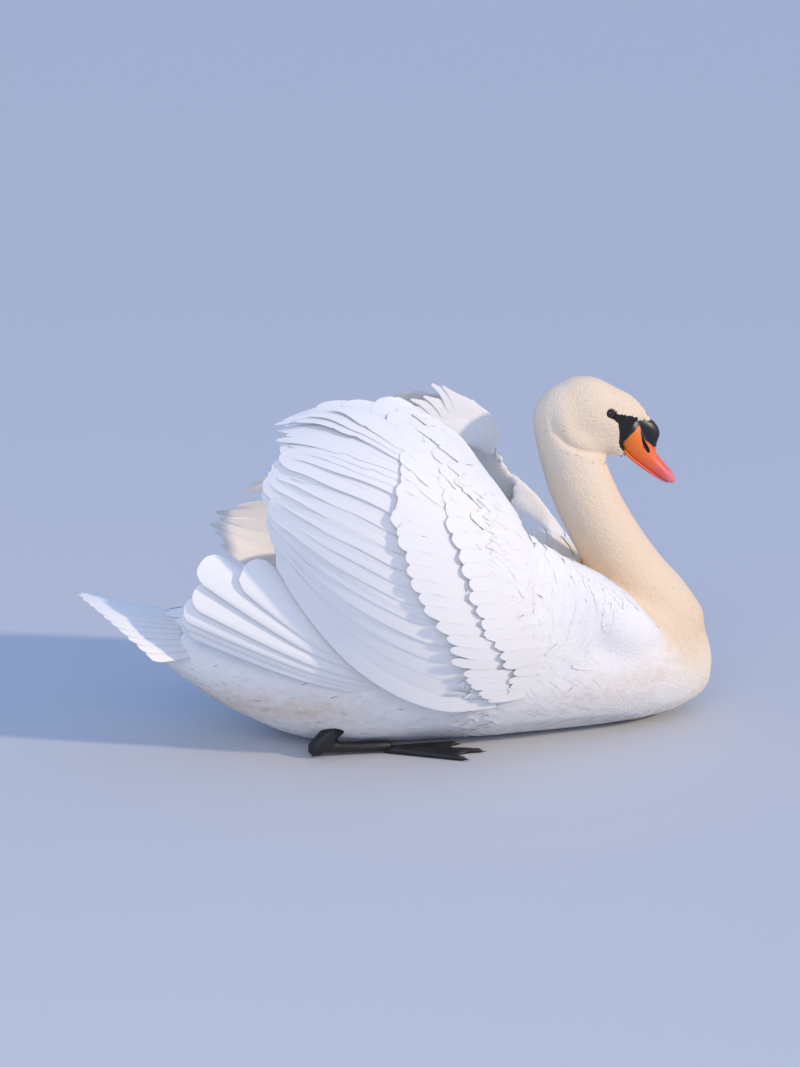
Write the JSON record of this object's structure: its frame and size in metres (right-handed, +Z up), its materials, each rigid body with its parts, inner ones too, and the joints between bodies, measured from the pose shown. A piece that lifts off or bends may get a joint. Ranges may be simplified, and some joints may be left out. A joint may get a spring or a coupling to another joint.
{
  "type": "mute swan",
  "caption": "Life-size still model of a mute swan at rest on its belly, wings arched over the back, neck drawn back in an S, orange bill with a black knob",
  "frame": {"origin": "on the floor, in the middle of the flat belly that the swan rests on", "axes": "+X is the way the swan faces, +Y is its left, +Z is up"},
  "size_m": [0.9172, 0.4391, 0.5079],
  "materials": {
    "white_plumage": "soft matt white plumage, creamy on head and neck",
    "white_flight_feathers": "satin white flight feathers",
    "orange_bill": "smooth horn, orange with a black base and knob",
    "black_leg_skin": "dull black scaly skin",
    "dark_eye": "wet, glossy dark brown"
  },
  "bodies": {
    "root": {"trunk": "white_plumage", "neck_lower": "white_plumage", "neck_upper": "white_plumage", "head": "white_plumage", "bill_upper": "orange_bill", "bill_lower": "orange_bill", "eye_left": "dark_eye", "eye_right": "dark_eye", "tail": "white_flight_feathers", "wing_left_arm": "white_plumage", "wing_left_secondaries": "white_flight_feathers", "wing_left_tertials": "white_flight_feathers", "wing_left_primaries": "white_flight_feathers", "leg_left": "black_leg_skin", "foot_left": "black_leg_skin", "wing_right_arm": "white_plumage", "wing_right_secondaries": "white_flight_feathers", "wing_right_tertials": "white_flight_feathers", "wing_right_primaries": "white_flight_feathers", "leg_right": "black_leg_skin", "foot_right": "black_leg_skin"}
  },
  "joints": []
}
